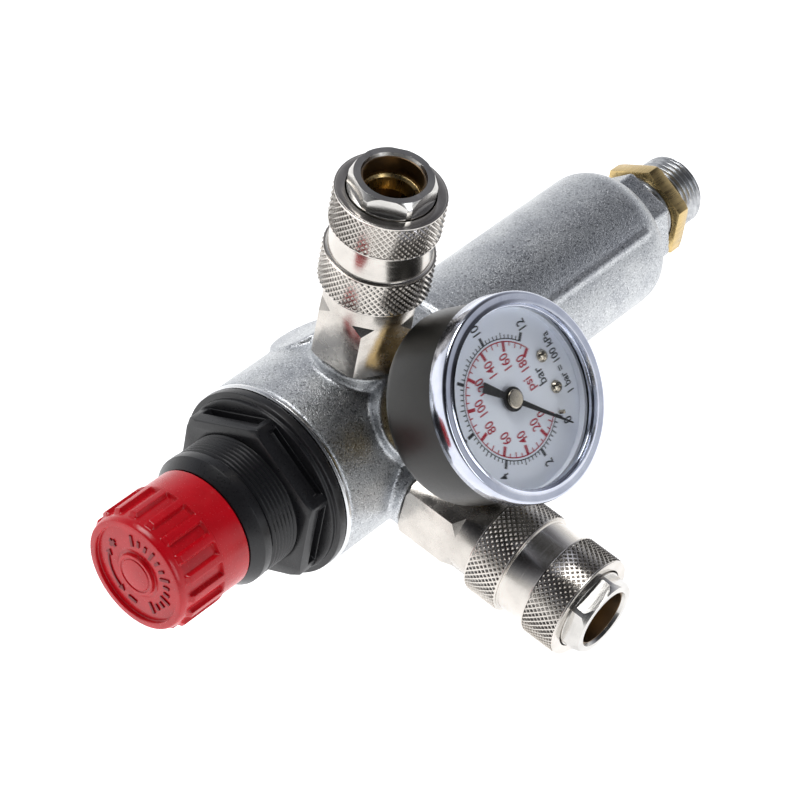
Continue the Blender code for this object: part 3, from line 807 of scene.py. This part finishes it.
def coupler_sleeve(number, place):
    body = f"sleeve_{number}"
    outline = rounded([
        (10.25, 43.2), (11.05, 43.2), (11.35, 43.55), (11.35, 51.35), (10.58, 51.75),
        (10.58, 58.25), (11.25, 58.65), (11.25, 66.6), (11.05, 67.0), (9.2, 67.0), (9.2, 65.2),
        (10.1, 65.2), (10.1, 60.2), (8.95, 60.2), (8.95, 57.5), (10.25, 57.5)], 0.1, 2)
    core = turned(f"sleeve_core_{number}", outline, LOOKS["nickel"], place)
    rides(core, body, f"coupler_sleeve_{number}", slot="nickel")
    for i, (low, high) in enumerate(KNURL_BANDS):
        outer = KNURL_R - 0.1 * i
        band = knurl_band(f"knurl_{number}_{i + 1}", low, high, outer, LOOKS["knurl"], place)
        rides(band, body, slot="nickel")
    for i, z in enumerate((43.45, 51.35, 58.65, 66.75)):
        rim = turned(f"sleeve_rim_{number}_{i + 1}",
                     rounded(ring(10.9, 11.4, z - 0.22, z + 0.22), 0.12, 2), LOOKS["nickel"], place)
        rides(rim, body, slot="nickel")


def coupler_nose(number, place):
    """Tube with a flatted, chamfered nose around the mouth."""
    nose = prism("nose", 6, NOSE_FLATS, 65.3, 71.0, NOSE_TURNS[number - 1], None, place)
    lathe = turned("lathe", [(0, 60), (8.9, 60), (8.9, 69.7), (8.3, 70.7), (8.1, 70.98),
                             (0, 70.98)], None, place)
    combine(nose, "INTERSECT", lathe)
    bore = turned("bore", [(0, 60), (6.3, 60), (6.3, 70.2), (6.75, 71.2), (0, 71.2)], None, place)
    combine(nose, "DIFFERENCE", bore)
    bevelled(nose, 0.1)
    nose.data.set_sharp_from_angle(angle=math.radians(12))
    collar = turned(f"nose_collar_{number}", rounded(ring(6.3, 8.88, 62, 67.3), 0.1, 2),
                    LOOKS["nose"], place)
    rides(collar, "regulator", slot="nickel")
    # A dark brown lining over the inside wall of the mouth.
    liner = turned(f"mouth_liner_{number}", rounded(ring(6.1, 6.4, 57.4, 70.3), 0.08, 2),
                   LOOKS["dark_lining"], place)
    rides(liner, "regulator", slot="nickel")
    nose.name = f"coupler_nose_{number}"
    nose.data.materials.clear()
    nose.data.materials.append(LOOKS["nose"])
    rides(nose, "regulator", slot="nickel")
    tube = turned(f"coupler_tube_{number}", rounded([
        (6.12, 43.4), (9.55, 43.4), (9.55, 45.6), (8.6, 45.6), (8.6, 58.0), (6.12, 58.0)], 0.1, 2),
        LOOKS["nickel"], place)
    rides(tube, "regulator", f"coupler_body_{number}", slot="nickel")
    insert = turned(f"mouth_insert_{number}", rounded([
        (5.2, 62.5), (6.05, 62.5), (6.05, 66.2), (5.75, 66.2), (5.2, 65.6)], 0.15, 3),
        LOOKS["brass"], place)
    rides(insert, "regulator", f"coupler_insert_{number}", slot="brass")


def couplers():
    for i, angle in enumerate(COUPLER_ANGLES):
        place = branch(angle)
        coupler_base(i + 1, place, COUPLER_TURNS[i])
        coupler_sleeve(i + 1, place)
        coupler_nose(i + 1, place)


# ---------------------------------------------------------------- gauge

def gauge_shell():
    place = branch(GAUGE_ANGLE)
    case = turned("gauge_cup", rounded([
        (5.3, 36.95), *arc((17.2, 39.85), 2.9, -90, 0, 8), (20.1, 54.2), (19.4, 54.2),
        (19.4, 40.5), (16.5, 37.9), (5.3, 37.9)], 0.1, 2), LOOKS["case"], place, FINE)
    rides(case, "regulator", "gauge_case", slot="case_steel")
    bezel = turned("gauge_ring", [
        (20.4, 53.3), (21.0, 53.25), (21.2, 53.45), *arc((20.45, 57.0), 0.75, 0, 88, 7),
        *arc((19.9, 59.6), 2.0, -100, -128, 4), (18.55, 57.05),
        *arc((18.4, 56.75), 0.3, 60, 180, 4), (18.1, 56.2), (20.4, 56.2)],
        LOOKS["chrome"], place, FINE, 50)
    rides(bezel, "regulator", "gauge_bezel", slot="chrome")
    pane = turned("gauge_window", [(0, 55.15), (20.2, 54.7), (20.2, 55.1), (0, 55.75)],
                  LOOKS["window"], place, FINE)
    rides(pane, "regulator", "gauge_lens", slot="lens_clear")
    wall = turned("gauge_inner_ring", rounded([
        (18.35, 53.02), (19.1, 53.02), (19.1, 54.6), (18.35, 54.6)], 0.05, 1),
        LOOKS["dial"], place, FINE)
    rides(wall, "regulator", slot="dial_white")


def reading_place():
    """The dial seen the way it reads: local x to the right, local y up."""
    return turned_by(branch(GAUGE_ANGLE), 90)


def bar_angle(bar):
    """Both scales share one start, so their first step is a little short."""
    return ZERO_ANGLE if bar == 0 else BAR_START - BAR_STEP * bar


def psi_angle(psi):
    return ZERO_ANGLE if psi == 0 else 90 + PSI_STEP * (90 - psi)


def tick(radius_in, radius_out, degrees, width, material):
    side = width / 2
    outline = [(radius_in, -side), (radius_out, -side), (radius_out, side), (radius_in, side)]
    return plate("tick", outline, DIAL_TOP, DIAL_TOP + PRINT_HEIGHT, material,
                 turned_by(reading_place(), degrees))


def band(radius, width, start, end, material):
    outline = arc((0, 0), radius + width / 2, start, end, 80)
    outline += arc((0, 0), radius - width / 2, end, start, 80)
    return plate("scale", outline, DIAL_TOP, DIAL_TOP + PRINT_HEIGHT, material, reading_place())


def words(text, size, x, y, material, squeeze):
    """Generic dial lettering as a flat mesh, its middle at a place on the dial."""
    curve = bpy.data.curves.new("words", "FONT")
    curve.body = text
    curve.size = size
    curve.align_x = "CENTER"
    curve.align_y = "CENTER"
    curve.offset = 0.05
    letter = bpy.data.objects.new("words", curve)
    bpy.context.scene.collection.objects.link(letter)
    bpy.context.view_layer.update()
    graph = bpy.context.evaluated_depsgraph_get()
    mesh = bpy.data.meshes.new_from_object(letter.evaluated_get(graph))
    bpy.data.objects.remove(letter)
    mesh.transform(Matrix.Diagonal((squeeze * MM, MM, MM, 1)))
    mesh.transform(Matrix.Translation((x * MM, y * MM, (DIAL_TOP + 0.02) * MM)))
    made = bpy.data.objects.new("words", mesh)
    made.data.materials.clear()
    made.data.materials.append(material)
    made.matrix_world = reading_place()
    bpy.context.scene.collection.objects.link(made)
    return made


def joined(name, parts):
    """Join flat prints into one piece."""
    bm = bmesh.new()
    base = parts[0].matrix_world.inverted()
    for part in parts:
        shape = part.data.copy()
        shape.transform(base @ part.matrix_world)
        bm.from_mesh(shape)
    mesh = bpy.data.meshes.new(name)
    bm.to_mesh(mesh)
    bm.free()
    mesh.materials.append(parts[0].data.materials[0])
    made = bpy.data.objects.new(name, mesh)
    made.matrix_world = parts[0].matrix_world.copy()
    bpy.context.scene.collection.objects.link(made)
    for part in parts:
        bpy.data.objects.remove(part)
    return made


def dial():
    place = branch(GAUGE_ANGLE)
    face = turned("dial_face", rounded(ring(0.9, 18.8, 52.45, DIAL_TOP), 0.1, 2), LOOKS["dial"],
                  place, FINE)
    rides(face, "regulator", "gauge_dial", slot="dial_white")
    psi_scale()
    bar_scale()


def psi_scale():
    ink_of_scale = LOOKS["ink_red"]
    red = [band(PSI_BAND_R, 0.24, ZERO_ANGLE, psi_angle(180), ink_of_scale)]
    for psi in range(0, 181, 5):
        if psi == 5:
            continue
        inner = 9.55 if psi % 20 == 0 else 10.45 if psi % 10 == 0 else 10.75
        width = 0.72 if psi % 20 == 0 else 0.25
        red.append(tick(inner, 11.6, psi_angle(psi), width, ink_of_scale))
    for psi in range(0, 181, 20):
        reach = PSI_DIGITS_R + (0.5 if psi in (0, 180) else 0.0)
        at = math.radians(psi_angle(psi) - (4 if psi == 0 else 0))
        across = reach * math.cos(at) * (0.93 if psi >= 100 else 1.0)
        red.append(words(str(psi), 3.25, across, reach * math.sin(at), ink_of_scale, 0.76))
    red.append(words("psi", 3.3, 0.2, -6.2, ink_of_scale, 0.82))
    prints = joined("dial_psi_scale", red)
    rides(prints, "regulator", slot="dial_white")


def bar_scale():
    ink_of_scale = LOOKS["ink_black"]
    black = [band(BAR_BAND_R, 0.2, ZERO_ANGLE, bar_angle(12), ink_of_scale)]
    for fifth in range(0, 61):
        bar = fifth / 5
        if 0 < bar < 0.5:
            continue
        outer = 13.95 if fifth % 10 == 0 else 13.35 if fifth % 5 == 0 else 12.95
        width = 0.68 if fifth % 10 == 0 else 0.25
        black.append(tick(12.1, outer, bar_angle(bar), width, ink_of_scale))
    for bar in range(0, 13, 2):
        at = math.radians(bar_angle(bar))
        x, y = BAR_DIGITS_R * math.cos(at), BAR_DIGITS_R * math.sin(at)
        black.append(words(str(bar), 3.2, x, y, ink_of_scale, 0.76))
    black.append(words("bar", 3.3, 0.2, -9.6, ink_of_scale, 0.85))
    black.append(words("1 bar = 100 kPa", 2.65, 0.3, -15.3, ink_of_scale, 0.8))
    prints = joined("dial_bar_scale", black)
    rides(prints, "regulator", slot="dial_white")


def dial_hardware():
    place = branch(GAUGE_ANGLE)
    for i, y in enumerate((3.5, -3.5)):
        way = shifted(place, 12.0, y)
        head = turned(f"screw_head_{i + 1}", rounded([(0, 53.05), (1.35, 53.05), (1.32, 53.4),
                      (0.95, 53.95), (0.3, 54.2), (0.22, 53.9), (0, 53.9)], 0.07, 3),
                      LOOKS["screw"], way, SMALL)
        rides(head, "regulator", f"dial_screw_{i + 1}", slot="bright_steel")
    a = math.radians(POINTER_REST + 5.7)
    way = shifted(place, 13.1 * math.cos(a), 13.1 * math.sin(a))
    pin = turned("stop_pin", rounded(rod(0.42, 53.02, 54.4), 0.12, 2), LOOKS["screw"], way, TINY)
    rides(pin, "regulator", "pointer_stop", slot="pointer_black")
    way = turned_by(place, POINTER_REST)
    blade = plate("needle", [(16.3, -0.13), (16.3, 0.13), (12.5, 0.26), (2, 0.62), (-2.2, 0.66),
                             (-7.9, 1.1), (-7.9, -1.1), (-2.2, -0.66), (2, -0.62), (12.5, -0.26)],
                  53.75, 53.98, LOOKS["pointer"], way)
    hub = turned("hub", rod(2.5, 53.7, 54.1), None, way, SMALL)
    combine(blade, "UNION", hub)
    bevelled(blade, 0.05, 1)
    rides(blade, "pointer", "gauge_pointer", slot="pointer_black")
    cap = turned("needle_cap", rounded([(0, 54.0), (1.95, 54.0), (1.95, 54.6), (1.7, 54.8),
                 (0.5, 54.9), (0, 54.9)], 0.14, 3), LOOKS["screw"], way, SMALL)
    rides(cap, "pointer", "pointer_cap", slot="bright_steel")


def gauge_stem():
    place = branch(GAUGE_ANGLE)
    # The stem's very dark brass is painted shade under the gauge case.
    stem = prism("stem_hexagon", 6, STEM_FLATS, 24.3, 36.55, 0, LOOKS["shade_darkened_brass"], place)
    lathe = turned("lathe", rounded([(0, 23), (7.0, 23.9), (8.3, 25.2), (8.3, 35.4), (7.0, 36.8),
                                     (0, 37)], 0.1, 2), None, place)
    combine(stem, "INTERSECT", lathe)
    bevelled(stem, 0.12)
    rides(stem, "regulator", slot="brass")


# ---------------------------------------------------------------- frame nodes that stay

def dress_nodes(nodes):
    """Give every CAD node that still shows its procedural material."""
    looks = {
        "coupler_seal": "seat", "spring": "spring", "seal": "rubber", "o_ring": "rubber",
        "diaphragm_plate": "steel", "diaphragm": "rubber", "filter": "bronze",
        "screw": "steel", "ball": "steel", "link": "steel", "arbor": "brass", "lens": "window",
    }
    for name, node in nodes.items():
        key = next((k for k in looks if k in name and name != "spring_nut"), None)
        node.data.materials.clear()
        node.data.materials.append(LOOKS[looks[key] if key else "brass"])


# ---------------------------------------------------------------- stage

def soft_light(name, place, aim, size, power, colour=(1, 1, 1)):
    data = bpy.data.lights.new(name, "AREA")
    data.shape = "RECTANGLE"
    data.size, data.size_y = size
    data.energy = power
    data.color = colour
    light = bpy.data.objects.new(name, data)
    light.location = place
    light.rotation_mode = "QUATERNION"
    light.rotation_quaternion = (Vector(aim) - Vector(place)).to_track_quat("-Z", "Y")
    bpy.context.scene.collection.objects.link(light)


def camera():
    data = bpy.data.cameras.new("camera")
    data.lens = 155.27
    data.sensor_width = 36
    data.clip_start = 0.01
    data.clip_end = 20
    made = bpy.data.objects.new("camera", data)
    heading = Matrix.Rotation(math.radians(-CAMERA_AZIMUTH), 4, "Z")
    tilt = Matrix.Rotation(math.radians(90 - CAMERA_ELEVATION), 4, "X")
    level = Matrix.Translation(CAMERA_PLACE) @ heading @ tilt
    made.matrix_world = turned_by(level, CAMERA_ROLL)
    bpy.context.scene.collection.objects.link(made)
    bpy.context.scene.camera = made


def studio_world():
    """A white tent that is open, and so dark, overhead and towards the camera."""
    world = bpy.data.worlds.new("studio")
    bpy.context.scene.world = world
    world.use_nodes = True
    tree = world.node_tree
    place = tree.nodes.new("ShaderNodeTexCoord").outputs["Generated"]

    def shade(direction, *stops):
        facing = tree.nodes.new("ShaderNodeVectorMath")
        facing.operation = "DOT_PRODUCT"
        facing.inputs[1].default_value = direction
        tree.links.new(place, facing.inputs[0])
        ramp = tree.nodes.new("ShaderNodeValToRGB")
        marks = ramp.color_ramp.elements
        while len(marks) < len(stops):
            marks.new(0.5)
        for mark, (at, value) in zip(marks, stops):
            mark.position = at
            mark.color = (*value, 1.0)
        tree.links.new(facing.outputs["Value"], ramp.inputs["Fac"])
        return ramp.outputs["Color"]

    tent = shade((0, 0, 1), (0.0, (0.95, 0.95, 0.95)), (0.12, (0.85, 0.86, 0.87)),
                 (0.3, (0.66, 0.68, 0.73)), (0.5, (0.32, 0.33, 0.37)), (0.72, (0.08, 0.08, 0.09)))
    front = shade(TO_CAMERA, (0.25, (1.0, 1.0, 1.0)), (0.6, (0.45, 0.45, 0.45)),
                  (0.85, (0.15, 0.15, 0.15)))
    both = tree.nodes.new("ShaderNodeMix")
    both.data_type = "RGBA"
    both.blend_type = "MULTIPLY"
    both.inputs[0].default_value = 1.0
    tree.links.new(tent, both.inputs[6])
    tree.links.new(front, both.inputs[7])
    tree.links.new(both.outputs[2], tree.nodes["Background"].inputs["Color"])


def stage(low):
    bm = bmesh.new()
    size = 6.0
    corners = [(-size, -size), (size, -size), (size, size), (-size, size)]
    bm.faces.new([bm.verts.new((x, y, low)) for x, y in corners])
    look = Look("floor_paint", (0.9, 0.9, 0.9), 0.9)
    look.set("Emission Color", (1.0, 1.0, 1.0, 1.0))
    look.set("Emission Strength", 0.85)
    floor = from_bmesh("floor", bm, look.material, Matrix.Identity(4))
    studio_world()
    centre = (-0.09, 0, 0)
    soft_light("key", (-0.15, 0.42, 0.95), centre, (0.5, 0.5), 5.2)
    soft_light("fill", (-0.25, -1.0, 0.55), centre, (0.35, 0.7), 2.2, (0.93, 0.96, 1.0))
    bpy.context.scene.view_settings.view_transform = "Standard"


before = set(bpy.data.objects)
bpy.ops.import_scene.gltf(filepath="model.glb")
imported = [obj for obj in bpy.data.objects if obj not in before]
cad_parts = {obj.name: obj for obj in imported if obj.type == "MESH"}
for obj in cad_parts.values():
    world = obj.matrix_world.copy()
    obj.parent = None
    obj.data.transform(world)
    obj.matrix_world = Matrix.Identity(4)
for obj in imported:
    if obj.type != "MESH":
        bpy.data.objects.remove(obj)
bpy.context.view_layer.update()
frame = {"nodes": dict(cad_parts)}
make_looks()
dress_nodes(frame["nodes"])
body_shell()
body_rim()
inlet()
bonnet()
knob_shell()
knob_face()
couplers()
gauge_shell()
dial()
dial_hardware()
gauge_stem()
camera()
stage(-0.14)
